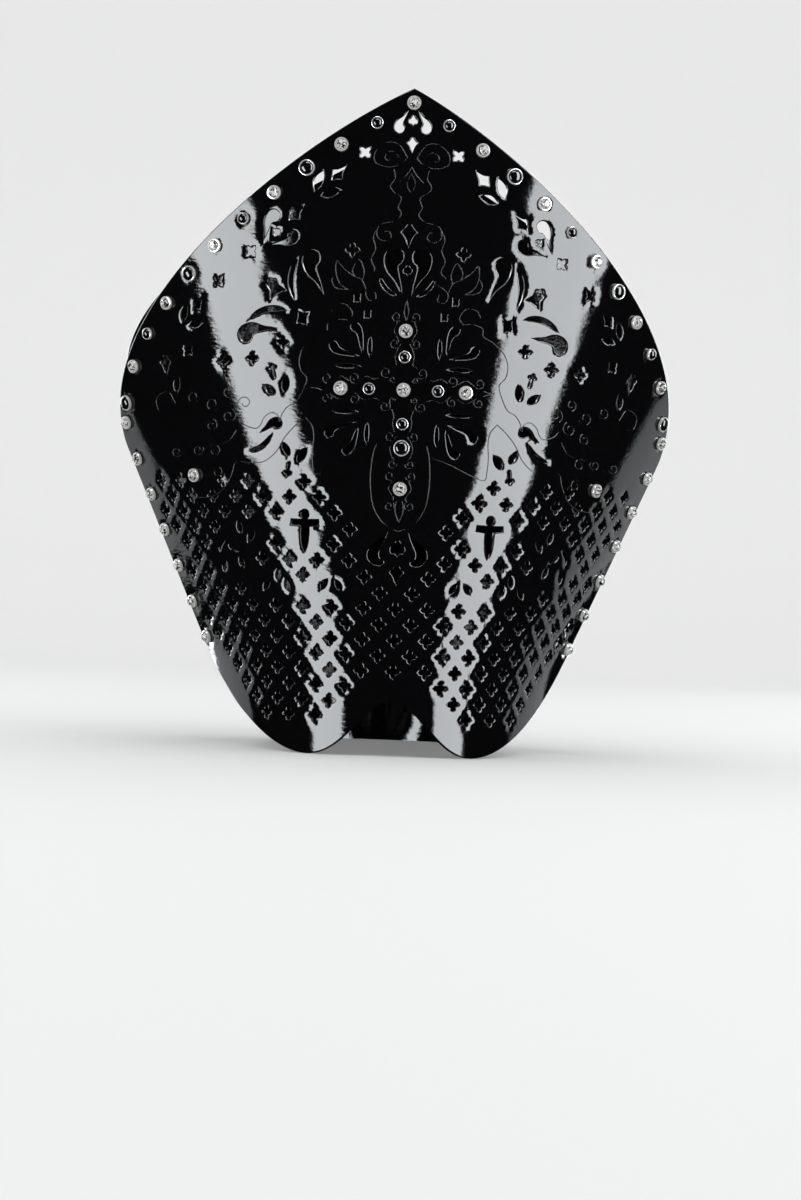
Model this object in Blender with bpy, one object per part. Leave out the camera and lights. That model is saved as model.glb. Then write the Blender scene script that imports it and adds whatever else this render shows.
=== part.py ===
"""A stiff, glossy bishop mitre: a pierced front panel that runs down into a half mask, a plain back panel
riveted to it along both sides, and studs of clear crystal and black cabochon.

Both panels are cut flat and then bent. A flat place is (s, z): s is the distance along the sheet from its
middle line, z the height. Front is -Y, up is +Z, the mitre stands on its two cheek lobes and its back edge.
"""

import math

import bmesh
import bpy
import numpy as np
from mathutils import Matrix, Vector
from mathutils.geometry import delaunay_2d_cdt

for old in list(bpy.data.objects):
    bpy.data.objects.remove(old, do_unlink=True)

# Overall sizes, in metres
HEIGHT = 0.3555
HALF_WIDTH = 0.1545
DEPTH = 0.205
SHEET = 0.0018

# Plan section of the front panel: half an ellipse whose half width grows with height
LOW_REACH = 0.110
HIGH_REACH = 0.301
BOW = 1.75
LOW_LEVEL = 0.125 * HEIGHT
HIGH_LEVEL = 0.685 * HEIGHT
LEVEL_EASE = 0.12

# Plan section of the back panel: half an ellipse that leaves the seam a little outwards
SIDE_SPREAD = 0.25
SIDE_PULL = 0.55
BACK_PULL = 0.62
SEAM_LIMIT = 1.05
SEAM_EASE = 0.10

# Fits
SEAT_GAP = 0.0003
LAP_GAP = 0.0009
LAP_WIDTH = 0.0145
POST_CLEARANCE = 0.0005

# Studs
CRYSTAL_RADIUS = 0.00375
SMALL_CABOCHON_RADIUS = 0.0032
LARGE_CABOCHON_RADIUS = 0.0043
SETTING_HEIGHT = 0.0015
STONE_RISE = 0.0017
POST_RADIUS = 0.0015
APEX_INSET = 0.0079
RIM_INSET = 0.0075
RIM_FOOT = 0.0187
RIM_STUDS = "bCBCbCBCbCB"
SEAM_INSET = 0.0068
SEAM_START = 0.0087
SEAM_FOOT = 0.0007
SEAM_STUDS = 7

# The middle lines of the two panels, so that the whole mitre is centred
STUD_RISE = SEAT_GAP + SETTING_HEIGHT + STONE_RISE
FRONT = -(DEPTH - STUD_RISE) / 2
BACK = FRONT + DEPTH

# Openings cut through the front panel
FOIL_RADIUS = 0.0037
FOIL_WAIST = 0.58
LATTICE_PITCH = 0.0174
LATTICE_ROW = 0.0083
LATTICE_TOP = 0.1747 * HEIGHT
LATTICE_MARGIN = 0.0115

# Mesh spacing
EDGE_STEP = 0.011
BACK_STEP = 0.0154
FILL_STEP = 0.020
FILL_ROW = 0.0174
FILL_MARGIN = 0.009
SMOOTH_ANGLE = math.radians(35)

# Outlines as shares of the half width and the height, each a Bezier curve of four points
RIM = ((0, 1), (0.337, 0.927), (1, 0.714), (1, 0.534))
CORNER = ((1, 0.534), (1, 0.506), (0.986, 0.480), (0.971, 0.464))
SEAM = ((0.971, 0.464), (0.868, 0.364), (0.766, 0.263), (0.663, 0.163))
LOBE = ((0.663, 0.163), (0.575, 0.077), (0.430, 0), (0.290, 0))
NOTCH = ((0.290, 0), (0.160, 0), (0.091, 0.084), (0, 0.084))

# The back panel's edges as shares of its own flat half width there and the height
BACK_RIM = ((0, 1), (0.25, 0.927), (0.72, 0.737), (1, 0.520))
BACK_HEM = ((1, 0.145), (0.80, 0.110), (0.60, 0), (0.30, 0))

# Studs away from the edges: name, share of half width, share of height, kind, mirrored
INNER_STUDS = (
    ("cross_crystal_middle", 0, 0.549, "C", False),
    ("cross_crystal_top", 0, 0.637, "C", False),
    ("cross_crystal_foot", 0, 0.401, "C", False),
    ("cross_crystal_arm", 0.215, 0.549, "C", True),
    ("cross_cabochon_top", 0, 0.598, "b", False),
    ("cross_cabochon_arm", 0.118, 0.549, "b", True),
    ("cross_cabochon_stem", 0, 0.498, "b", False),
    ("cross_cabochon_foot", 0, 0.462, "B", False),
    ("flank_crystal", 0.712, 0.416, "C", True),
)

# Ornament openings, each with its mirror image: shape, share of half width, share of height,
# turn in degrees, size as a share of height
ORNAMENTS = (
    ("spade", 0, 0.948, 0, 0.0211),
    ("kite", 0, 0.914, 0, 0.0239),
    ("foil", 0.162, 0.902, 0, 0.0104),
    ("kite", 0.248, 0.869, 20, 0.0338),
    ("kite", 0.399, 0.813, 35, 0.0366),
    ("spade", 0.470, 0.784, -40, 0.0281),
    ("kite", 0, 0.779, 0, 0.0380),
    ("foil", 0.193, 0.755, 0, 0.0104),
    ("foil", 0.544, 0.753, 0, 0.0104),
    ("foil", 0.654, 0.709, 0, 0.0104),
    ("spade", 0, 0.728, 0, 0.0211),
    ("tadpole", 0.058, 0.722, 0, 0.0689),
    ("tadpole", 0.327, 0.717, 17, 0.0647),
    ("crescent", 0.392, 0.705, 185, 0.0661),
    ("bell", 0.464, 0.698, -30, 0.0366),
    ("kite", 0.722, 0.671, 10, 0.0338),
    ("crescent", 0.480, 0.661, 95, 0.0633),
    ("tadpole", 0.509, 0.633, -110, 0.0605),
    ("heart", 0.179, 0.621, 135, 0.0253),
    ("foil", 0.420, 0.618, 0, 0.0104),
    ("foil", 0.526, 0.593, 0, 0.0104),
    ("kite", 0.831, 0.578, 0, 0.0352),
    ("heart", 0.193, 0.480, 45, 0.0253),
    ("crescent", 0.460, 0.486, 240, 0.0464),
    ("petal", 0.350, 0.452, 40, 0.0239),
    ("petal", 0.395, 0.452, -40, 0.0239),
    ("dagger", 0.321, 0.333, 0, 0.0647),
    ("spade", 0, 0.312, 0, 0.0225),
    ("tadpole", -0.056, 0.311, 170, 0.0520),
    ("kite", 0, 0.272, 0, 0.0295),
)

# Outlines of the openings, as shares of their size across and up the sheet
SHAPES = {
    "kite": ((0, 0.50), (-0.28, 0), (0, -0.50), (0.28, 0)),
    "petal": ((0, 0.50), (-0.22, 0.12), (-0.22, -0.20), (0, -0.50), (0.22, -0.20), (0.22, 0.12)),
    "spade": (
        (0, 0.55), (-0.30, 0.22), (-0.42, -0.18), (-0.16, -0.45),
        (0.16, -0.45), (0.42, -0.18), (0.30, 0.22),
    ),
    "heart": (
        (0, -0.60), (0.42, -0.05), (0.40, 0.35), (0.16, 0.48),
        (0, 0.22), (-0.16, 0.48), (-0.40, 0.35), (-0.42, -0.05),
    ),
    "tadpole": (
        (-0.12, -0.50), (0.03, -0.20), (0.21, 0.12), (0.20, 0.36),
        (0.04, 0.50), (-0.14, 0.42), (-0.19, 0.20), (-0.10, -0.10),
    ),
    "crescent": (
        (-0.10, -0.50), (0.10, -0.28), (0.18, 0.02), (0.12, 0.32),
        (-0.08, 0.50), (-0.03, 0.26), (0, 0), (-0.04, -0.26),
    ),
    "bell": (
        (0, 0.50), (-0.30, 0.20), (-0.26, -0.20), (-0.44, -0.46), (0.44, -0.46), (0.26, -0.20), (0.30, 0.20),
    ),
    "dagger": (
        (0, 0.50), (-0.09, 0.28), (-0.35, 0.12), (-0.35, 0.04), (-0.10, 0.02),
        (0, -0.50), (0.10, 0.02), (0.35, 0.04), (0.35, 0.12), (0.09, 0.28),
    ),
}


# The front surface

TURNS = np.linspace(0, math.radians(88), 500)
SPEED = np.sqrt(np.cos(TURNS) ** 2 + (BOW * np.sin(TURNS)) ** 2)
ARC = np.concatenate([[0], np.cumsum((SPEED[1:] + SPEED[:-1]) / 2 * np.diff(TURNS))])


def reach(z):
    """Half width of the plan ellipse at this height: nearly constant in the mask, then spreading evenly."""
    rise = (z - LOW_LEVEL) / (HIGH_LEVEL - LOW_LEVEL)
    eased = (rise + math.hypot(rise, LEVEL_EASE)) / 2
    return LOW_REACH + (HIGH_REACH - LOW_REACH) * eased


def along(x, z):
    """Distance along the front sheet from its middle to the place that shows at (x, z) from the front."""
    half = reach(z)
    turn = math.asin(min(abs(x) / half, math.sin(TURNS[-1])))
    return math.copysign(half * float(np.interp(turn, TURNS, ARC)), x)


def front_point(s, z):
    half = reach(z)
    turn = float(np.interp(abs(s) / half, ARC, TURNS))
    return Vector((math.copysign(half * math.sin(turn), s), FRONT + BOW * half * (1 - math.cos(turn)), z))


def frame_at(surface, s, z, step=0.0004):
    """The surface point, its level tangent, its tangent up the sheet and its outward normal."""
    over = (surface(s + step, z) - surface(s - step, z)).normalized()
    up = surface(s, z + step) - surface(s, z - step)
    out = over.cross(up).normalized()
    return surface(s, z), over, out.cross(over), out


def shift(surface, s, z, across, up, step=0.0004):
    """The flat place that lies this far across and up the bent sheet from (s, z)."""
    _, over, steep, _ = frame_at(surface, s, z)
    climb = (surface(s, z + step) - surface(s, z - step)) / (2 * step)
    dz = up / climb.dot(steep)
    return s + across - dz * climb.dot(over), z + dz


# The back surface, which lies under the front one along the lap and then rounds the back of the head

def seam_edge(z):
    """Where the straight seam edge of the front panel lies at this height, carried on below and upright above."""
    (top_x, top_z), (low_x, low_z) = SEAM[0], SEAM[-1]
    share = (z / HEIGHT - low_z) / (top_z - low_z)
    past = share - SEAM_LIMIT
    share -= (past + math.hypot(past, SEAM_EASE)) / 2
    return along(HALF_WIDTH * (low_x + (top_x - low_x) * share), z)


def under_front(s, z):
    """The place on the back panel's outer face that lies under (s, z) of the front panel."""
    point, over, _, out = frame_at(front_point, s, z)
    return point - out * (SHEET + LAP_GAP), over


BACK_CURVES = {}


def back_curve(z):
    """Points from the middle of the back round to the seam edge at this height, and the length to each."""
    key = round(z, 6)
    if key not in BACK_CURVES:
        end, over = under_front(seam_edge(z), z)
        lead = Vector((SIDE_SPREAD * over.x, over.y, 0)).normalized()
        pull = end + lead * (SIDE_PULL * (BACK - end.y))
        middle = Vector((0, BACK, z))
        corners = (middle, middle + Vector((BACK_PULL * end.x, 0, 0)), pull, end)
        points = [bezier(corners, i / 32) for i in range(33)]
        steps = [(b - a).length for a, b in zip(points, points[1:])]
        BACK_CURVES[key] = np.array([p[:] for p in points]), np.concatenate([[0], np.cumsum(steps)])
    return BACK_CURVES[key]


def back_point(s, z):
    """s runs from the middle to the right of one who stands behind; past the seam it goes under the front."""
    points, lengths = back_curve(z)
    if abs(s) > lengths[-1]:
        point, _ = under_front(seam_edge(z) - (abs(s) - lengths[-1]), z)
    else:
        point = Vector([float(np.interp(abs(s), lengths, points[:, i])) for i in range(3)])
    point.x = -math.copysign(point.x, s)
    return point


def back_half(z):
    """Flat half width of the back panel at this height, with its lap."""
    return float(back_curve(z)[1][-1]) + LAP_WIDTH


# Flat outlines

def bezier(corners, t):
    weights = ((1 - t) ** 3, 3 * t * (1 - t) ** 2, 3 * t * t * (1 - t), t ** 3)
    total = corners[0] * weights[0]
    for corner, weight in zip(corners[1:], weights[1:]):
        total = total + corner * weight
    return total


def curve(shares, width, step=EDGE_STEP):
    """Evenly shared points along one edge curve, without its last point."""
    corners = [Vector((x * width, z * HEIGHT)) for x, z in shares]
    length = sum((b - a).length for a, b in zip(corners, corners[1:]))
    count = max(2, round(length / step))
    return [bezier(corners, i / count) for i in range(count)]


def both_sides(half):
    """A closed outline from its right half, which starts and ends on the middle line."""
    left = [(-s, z) for s, z in reversed(half[1:-1])]
    return half + left


def front_outline():
    right = [p for part in (RIM, CORNER, SEAM, LOBE, NOTCH) for p in curve(part, HALF_WIDTH)]
    right.append(Vector((0, NOTCH[-1][1] * HEIGHT)))
    return both_sides([(along(x, z), z) for x, z in right])


def back_outline():
    rim_width = back_half(BACK_RIM[-1][1] * HEIGHT)
    hem_width = back_half(BACK_HEM[0][1] * HEIGHT)
    rim = [(p.x, p.y) for p in curve(BACK_RIM, rim_width, BACK_STEP)]
    top, low = BACK_RIM[-1][1] * HEIGHT, BACK_HEM[0][1] * HEIGHT
    levels = np.linspace(top, low, round((top - low) / EDGE_STEP) + 1)[:-1]
    seam = [(back_half(z), float(z)) for z in levels]
    hem = [(p.x, p.y) for p in curve(BACK_HEM, hem_width, BACK_STEP)]
    foot = [(BACK_HEM[-1][0] * hem_width * share, 0) for share in np.linspace(1, 0, 4)]
    return both_sides(rim + seam + hem + foot)


# Stud places on the front panel, as flat (s, z)

def edge_line(shares, inset, step=0.002):
    """The line on the front sheet that runs beside these edge curves at this distance inside them."""
    points = [p for part in shares for p in curve(part, HALF_WIDTH, step)]
    flat = [Vector((along(x, z), z)) for x, z in points]
    line = []
    for before, here, after in zip(flat, flat[1:], flat[2:]):
        run = (after - before).normalized()
        line.append(here + Vector((run.y, -run.x)) * inset)
    return line


def share_out(line, first, last, count):
    """Places shared evenly along a line, with these lengths left free at its start and its end."""
    lengths = np.concatenate([[0], np.cumsum([(b - a).length for a, b in zip(line, line[1:])])])
    wanted = np.linspace(first, lengths[-1] - last, count)
    return [tuple(float(np.interp(w, lengths, [p[i] for p in line])) for i in (0, 1)) for w in wanted]


def rim_places():
    """The apex, then the studs of the right rim from the top down."""
    line = edge_line((RIM, CORNER), RIM_INSET)
    line = [Vector((0, HEIGHT - APEX_INSET))] + [p for p in line if p.x > RIM_INSET]
    return share_out(line, 0, RIM_FOOT, len(RIM_STUDS) + 1)


def seam_places():
    """The rivets of the right seam from the top down, all above the lobe."""
    line = [p for p in edge_line((CORNER, SEAM, LOBE), SEAM_INSET) if p.y > SEAM[-1][1] * HEIGHT]
    return share_out(line, SEAM_START, SEAM_FOOT, SEAM_STUDS)


# Flat openings

def ring(surface, place, radius, sides):
    s, z = place
    turns = [2 * math.pi * (i + 0.5) / sides for i in range(sides)]
    return [shift(surface, s, z, radius * math.cos(t), radius * math.sin(t)) for t in turns]


def foil(place, radius):
    """A quatrefoil: four lobes across and up, with narrow waists between them."""
    s, z = place
    radii = [radius, FOIL_WAIST * radius] * 4
    turns = [math.pi * i / 4 for i in range(8)]
    return [shift(front_point, s, z, r * math.cos(t), r * math.sin(t)) for r, t in zip(radii, turns)]


def ornament(shape, place, turn, size, side):
    """One ornament opening. The left one is the right one's mirror image."""
    s, z = place
    if shape == "foil":
        return foil(place, size)
    turn = math.radians(turn)
    loop = []
    for x, y in SHAPES[shape]:
        across = size * (x * math.cos(turn) - y * math.sin(turn))
        up = size * (x * math.sin(turn) + y * math.cos(turn))
        loop.append(shift(front_point, s, z, side * across, up))
    return loop


def ornaments():
    loops = []
    for shape, x, z, turn, size in ORNAMENTS:
        place = along(x * HALF_WIDTH, z * HEIGHT), z * HEIGHT
        for side in (1, -1) if x else (1,):
            loops.append(ornament(shape, (side * place[0], place[1]), turn, size * HEIGHT, side))
    return loops


def lattice(outline, taken):
    """Quatrefoils over the mask in staggered rows, kept off the edge and off whatever is there already."""
    edge = np.array(outline)
    others = np.array([p for loop in taken for p in loop])
    places = []
    rows = int(LATTICE_TOP / LATTICE_ROW)
    for row in range(rows):
        z = LATTICE_TOP - row * LATTICE_ROW
        start = LATTICE_PITCH / 2 * (row % 2)
        columns = int(1.2 * HALF_WIDTH / LATTICE_PITCH)
        for column in range(-columns, columns + 1):
            s = start + column * LATTICE_PITCH
            inside = contains(outline, s, z)
            clear = np.hypot(edge[:, 0] - s, edge[:, 1] - z).min() > LATTICE_MARGIN
            free = np.hypot(others[:, 0] - s, others[:, 1] - z).min() > LATTICE_MARGIN - FOIL_RADIUS / 2
            if inside and clear and free:
                places.append((s, z))
    return places


def contains(outline, s, z):
    inside = False
    for (s1, z1), (s2, z2) in zip(outline, outline[1:] + outline[:1]):
        if (z1 > z) != (z2 > z) and s < s1 + (z - z1) / (z2 - z1) * (s2 - s1):
            inside = not inside
    return inside


# Building

def material(name, colour, roughness, metallic=0.0):
    made = bpy.data.materials.new(name)
    made.use_nodes = True
    shader = made.node_tree.nodes["Principled BSDF"]
    shader.inputs["Base Color"].default_value = (*colour, 1)
    shader.inputs["Roughness"].default_value = roughness
    shader.inputs["Metallic"].default_value = metallic
    return made


def add_object(name, mesh, finish):
    made = bpy.data.objects.new(name, mesh)
    if not mesh.materials:
        mesh.materials.append(finish)
        mesh.shade_smooth()
        mesh.set_sharp_from_angle(angle=SMOOTH_ANGLE)
    bpy.context.scene.collection.objects.link(made)
    return made


def fill_points(outline, loops):
    """A staggered grid of places that keeps the bent sheet round where it has no openings."""
    taken = np.array([p for loop in [outline] + loops for p in loop])
    low, high = np.min(outline, axis=0), np.max(outline, axis=0)
    found = []
    for row, z in enumerate(np.arange(low[1] + FILL_STEP / 2, high[1], FILL_ROW)):
        for s in np.arange(0, high[0], FILL_STEP):
            for place in {(float(s + row % 2 * FILL_STEP / 2) * side, float(z)) for side in (1, -1)}:
                far = np.hypot(taken[:, 0] - place[0], taken[:, 1] - place[1]).min() > FILL_MARGIN
                if far and contains(outline, *place):
                    found.append(place)
    return found


def bent_sheet(outline, openings, posts, extra, surface):
    """A bmesh of the sheet, cut flat and bent: openings go through it, posts are left open on the outside.

    Returns it with one ring of outer vertices for each post.
    """
    loops = [anticlockwise(loop) for loop in [outline] + openings + posts]
    flat, faces = [], []
    for loop in loops:
        faces.append(list(range(len(flat), len(flat) + len(loop))))
        flat += [Vector(p) for p in loop]
    flat += [Vector(p) for p in extra + fill_points(outline, openings + posts)]
    places, _, triangles, origins, _, owners = delaunay_2d_cdt(flat, [], faces, 1, 1e-7, True)
    bm = bmesh.new()
    outer, inner = [], []
    for s, z in places:
        point, _, _, out = frame_at(surface, s, z)
        outer.append(bm.verts.new(point))
        inner.append(bm.verts.new(point - out * SHEET))
    first_post = 1 + len(openings)
    for triangle, owner in zip(triangles, owners):
        if 0 not in owner or any(0 < i < first_post for i in owner):
            continue
        if not any(i >= first_post for i in owner):
            bm.faces.new([outer[i] for i in triangle])
        bm.faces.new([inner[i] for i in reversed(triangle)])
    place_of = {origin: i for i, found in enumerate(origins) for origin in found}
    for loop in faces[:first_post]:
        close_edge(bm, [place_of[i] for i in loop], outer, inner)
    rings = [[outer[place_of[i]] for i in loop] for loop in faces[first_post:]]
    bmesh.ops.delete(bm, geom=[v for v in bm.verts if not v.link_faces], context="VERTS")
    return bm, rings


def anticlockwise(loop):
    area = sum(s1 * z2 - s2 * z1 for (s1, z1), (s2, z2) in zip(loop, loop[1:] + loop[:1]))
    return loop if area > 0 else loop[::-1]


def close_edge(bm, loop, outer, inner):
    for a, b in zip(loop, loop[1:] + loop[:1]):
        bm.faces.new((outer[a], outer[b], inner[b]))
        bm.faces.new((outer[a], inner[b], inner[a]))


def level_ring(bm, frame, radius, height, sides):
    point, over, steep, out = frame
    turns = [2 * math.pi * (i + 0.5) / sides for i in range(sides)]
    return [
        bm.verts.new(point + out * height + over * (radius * math.cos(t)) + steep * (radius * math.sin(t)))
        for t in turns
    ]


def join_rings(bm, low, high):
    for i in range(len(low)):
        j = (i + 1) % len(low)
        bm.faces.new((low[i], low[j], high[j], high[i]))


def grow(bm, start, frame, profile, sides):
    """Rings of a turned shape, one after another from a first ring, closed at the top."""
    below = start
    for radius, height in profile:
        above = level_ring(bm, frame, radius, height, sides)
        join_rings(bm, below, above)
        below = above
    bm.faces.new(below)


# Head of a stud above its seat: (radius, height) rings of the setting's wall, its lip and the stone

def crystal_profile(radius, seat):
    top = seat + SETTING_HEIGHT
    return (
        (radius, seat),
        (radius, top - 0.1 * radius),
        (0.86 * radius, top),
        (0.50 * radius, top + STONE_RISE),
    )


def cabochon_profile(radius, seat):
    top = seat + SETTING_HEIGHT
    return (
        (radius, seat),
        (0.95 * radius, top),
        (0.80 * radius, top),
        (0.70 * radius, top + 0.6 * STONE_RISE),
        (0.34 * radius, top + STONE_RISE),
    )


KINDS = {
    "C": ("crystal", CRYSTAL_RADIUS, crystal_profile, 8),
    "b": ("small_cabochon", SMALL_CABOCHON_RADIUS, cabochon_profile, 10),
    "B": ("large_cabochon", LARGE_CABOCHON_RADIUS, cabochon_profile, 10),
}


def stud_mesh(kind):
    """A stud about its own origin, +Z outwards, whose flat foot lies the seat gap above the sheet."""
    name, radius, profile, sides = KINDS[kind]
    frame = Vector((0, 0, 0)), Vector((1, 0, 0)), Vector((0, 1, 0)), Vector((0, 0, 1))
    rings = profile(radius, SEAT_GAP)
    bm = bmesh.new()
    foot = level_ring(bm, frame, *rings[0], sides)
    bm.faces.new(list(reversed(foot)))
    grow(bm, foot, frame, rings[1:], sides)
    mesh = bpy.data.meshes.new(name)
    bm.to_mesh(mesh)
    bm.free()
    return mesh


def add_stud(name, kind, place, meshes, finishes):
    point, over, steep, out = frame_at(front_point, *place)
    made = add_object(name, meshes[kind], finishes["C" if kind == "C" else "b"])
    made.matrix_world = Matrix.Translation(point) @ Matrix((over, steep, out)).transposed().to_4x4()


def add_studs(finishes):
    meshes = {kind: stud_mesh(kind) for kind in KINDS}
    apex, *rim = rim_places()
    add_stud("apex_crystal", "C", apex, meshes, finishes)
    for side, word in ((-1, "left"), (1, "right")):
        for number, (kind, (s, z)) in enumerate(zip(RIM_STUDS, rim), 1):
            stone = "crystal" if kind == "C" else "cabochon"
            add_stud(f"rim_{stone}_{word}_{number}", kind, (side * s, z), meshes, finishes)
    for name, x, z, kind, mirrored in INNER_STUDS:
        s = along(x * HALF_WIDTH, z * HEIGHT)
        if not mirrored:
            add_stud(name, kind, (s, z * HEIGHT), meshes, finishes)
            continue
        for side, word in ((-1, "left"), (1, "right")):
            add_stud(f"{name}_{word}", kind, (side * s, z * HEIGHT), meshes, finishes)


def stud_places():
    inner = [(along(x * HALF_WIDTH, z * HEIGHT), z * HEIGHT) for _, x, z, _, _ in INNER_STUDS]
    right = rim_places() + inner
    return right + [(-s, z) for s, z in right if s]


def finish_sheet(name, bm, finish):
    bmesh.ops.recalc_face_normals(bm, faces=bm.faces)
    mesh = bpy.data.meshes.new(name)
    bm.to_mesh(mesh)
    bm.free()
    return add_object(name, mesh, finish)


def add_front_panel(finish):
    outline = front_outline()
    rivets = [(side * s, z) for s, z in seam_places() for side in (1, -1)]
    holes = [ring(front_point, place, POST_RADIUS + POST_CLEARANCE, 8) for place in rivets]
    cuts = holes + ornaments()
    studs = stud_places()
    foils = [foil(place, FOIL_RADIUS) for place in lattice(outline, cuts + [[place] for place in studs])]
    bm, _ = bent_sheet(outline, cuts + foils, [], studs, front_point)
    print(f"front panel: {len(cuts) + len(foils) - len(holes)} openings, {len(holes)} rivet holes")
    return finish_sheet("front_panel", bm, finish)


def add_back_panel(finish):
    """The back panel with the seam's crystal rivets, whose posts pass through the front panel."""
    rivets = []
    for s, z in seam_places():
        flat = back_half(z) - LAP_WIDTH + seam_edge(z) - s
        rivets += [(flat, z), (-flat, z)]
    posts = [ring(back_point, place, POST_RADIUS, 8) for place in rivets]
    bm, rings = bent_sheet(back_outline(), [], posts, [], back_point)
    seat = LAP_GAP + SHEET + SEAT_GAP
    profile = ((POST_RADIUS, seat),) + crystal_profile(CRYSTAL_RADIUS, seat)
    for place, start in zip(rivets, rings):
        grow(bm, start, frame_at(back_point, *place), profile, 8)
    return finish_sheet("back_panel", bm, finish)


def main():
    sheet = material("glossy_black_sheet", (0.006, 0.006, 0.007), 0.07)
    finishes = {
        "C": material("clear_crystal", (0.78, 0.82, 0.86), 0.05),
        "b": material("black_cabochon", (0.010, 0.010, 0.012), 0.04),
    }
    add_front_panel(sheet)
    add_back_panel(sheet)
    add_studs(finishes)


main()
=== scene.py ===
# %% [markdown]
# # Bishop mitre
#
# The real hat is two stiff sheets in mirror-gloss black: a pierced front that runs down into a half mask,
# and a plain back that is riveted under its sides. Silver cups hold clear crystals, and silver rings hold
# black cabochons. The model is made in the same order as the hat: cut the sheets flat, soften the cut
# edges, bend them, engrave the front, set the stones, and light it all so that two bands run down the
# gloss.

# %% Frame and overall sizes
import math

import bmesh
import bpy
import numpy as np
from mathutils import Matrix, Vector
from mathutils.kdtree import KDTree


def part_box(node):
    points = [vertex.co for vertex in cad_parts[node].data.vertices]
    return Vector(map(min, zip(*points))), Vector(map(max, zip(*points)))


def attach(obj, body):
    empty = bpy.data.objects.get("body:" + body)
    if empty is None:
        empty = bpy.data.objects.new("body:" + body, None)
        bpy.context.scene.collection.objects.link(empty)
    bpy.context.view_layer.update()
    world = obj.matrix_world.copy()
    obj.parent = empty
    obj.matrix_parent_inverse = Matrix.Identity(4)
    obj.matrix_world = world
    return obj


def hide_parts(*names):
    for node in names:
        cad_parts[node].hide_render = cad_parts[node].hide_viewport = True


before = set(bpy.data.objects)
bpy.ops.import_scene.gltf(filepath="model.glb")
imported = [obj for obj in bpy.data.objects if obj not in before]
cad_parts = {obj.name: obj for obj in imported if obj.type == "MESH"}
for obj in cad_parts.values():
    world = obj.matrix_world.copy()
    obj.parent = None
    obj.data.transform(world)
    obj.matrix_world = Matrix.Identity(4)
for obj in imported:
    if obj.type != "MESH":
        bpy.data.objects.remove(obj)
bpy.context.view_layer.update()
MM = 0.001

front_low, front_high = (Vector(corner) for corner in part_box("front_panel"))
back_low, back_high = (Vector(corner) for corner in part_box("back_panel"))
HEIGHT = front_high.z
HALF_WIDTH = front_high.x
FRONT = front_low.y
BACK = back_high.y
SHEET = 1.8 * MM
wide, high, deep = (size / MM for size in (2 * HALF_WIDTH, HEIGHT, BACK - FRONT))
print(f"front {wide:.0f} mm wide, {high:.1f} mm high, {deep:.0f} mm deep")

# %% [markdown]
# ## The bent surfaces
#
# A sheet bends one way only, so a place on it is given by the distance along it and the height. The
# front's level sections are half ellipses whose half width grows with height. A formula was chosen over a
# sculpted surface because the gloss shows every lump: with it the reflections stay as clean as on real
# sheet.

# %% Front surface
STEEPEST_TURN = math.radians(88)
ARC_STEPS = 1500
LOW_REACH = 110 * MM
HIGH_REACH = 301 * MM
BOW = 1.75
LOW_LEVEL = 0.125 * HEIGHT
HIGH_LEVEL = 0.685 * HEIGHT
LEVEL_EASE = 0.12

TURNS = np.linspace(0, STEEPEST_TURN, ARC_STEPS)
SPEED = np.sqrt(np.cos(TURNS) ** 2 + (BOW * np.sin(TURNS)) ** 2)
ARC = np.concatenate([[0], np.cumsum((SPEED[1:] + SPEED[:-1]) / 2 * np.diff(TURNS))])


def reach(z):
    """Half width of the ellipse at this height."""
    rise = (z - LOW_LEVEL) / (HIGH_LEVEL - LOW_LEVEL)
    return LOW_REACH + (HIGH_REACH - LOW_REACH) * (rise + math.hypot(rise, LEVEL_EASE)) / 2


def along(x, z):
    """Distance along the front sheet to the place that shows at (x, z) from the front."""
    turn = math.asin(min(abs(x) / reach(z), math.sin(TURNS[-1])))
    return math.copysign(reach(z) * float(np.interp(turn, TURNS, ARC)), x)


def front_point(s, z):
    half = reach(z)
    turn = float(np.interp(abs(s) / half, ARC, TURNS))
    return Vector((math.copysign(half * math.sin(turn), s), FRONT + BOW * half * (1 - math.cos(turn)), z))


def frame_at(surface, s, z, step=0.4 * MM):
    """A surface point, its level tangent, its tangent up the sheet and its outward normal."""
    over = (surface(s + step, z) - surface(s - step, z)).normalized()
    out = over.cross(surface(s, z + step) - surface(s, z - step)).normalized()
    return surface(s, z), over, out.cross(over), out


def shift(surface, s, z, across, up, step=0.4 * MM):
    """The flat place that lies this far across and up the bent sheet from (s, z)."""
    _, over, steep, _ = frame_at(surface, s, z)
    climb = (surface(s, z + step) - surface(s, z - step)) / (2 * step)
    dz = up / climb.dot(steep)
    return s + across - dz * climb.dot(over), z + dz


print(f"half ellipses from {2 * reach(0) / MM:.0f} to {2 * reach(HEIGHT) / MM:.0f} mm wide")

# %% [markdown]
# The back sheet lies under the front one along the seam and then rounds the back of the hat, as half an
# ellipse too. It is worked out from the seam, so that the two sheets keep their gap when a size changes.

# %% Edges and back surface
RIM = ((0, 1), (0.337, 0.927), (1, 0.714), (1, 0.534))
CORNER = ((1, 0.534), (1, 0.506), (0.986, 0.480), (0.971, 0.464))
SEAM = ((0.971, 0.464), (0.868, 0.364), (0.766, 0.263), (0.663, 0.163))
LOBE = ((0.663, 0.163), (0.575, 0.077), (0.430, 0), (0.290, 0))
NOTCH = ((0.290, 0), (0.160, 0), (0.091, 0.084), (0, 0.084))
BACK_RIM = ((0, 1), (0.25, 0.927), (0.72, 0.737), (1, 0.520))
BACK_HEM = ((1, 0.145), (0.80, 0.110), (0.60, 0), (0.30, 0))
LAP_GAP = 0.9 * MM
LAP_WIDTH = 14.5 * MM
SIDE_SPREAD = 0.25
SIDE_PULL = 0.55
BACK_PULL = 0.62
SEAM_LIMIT = 1.05
SEAM_EASE = 0.10
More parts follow.
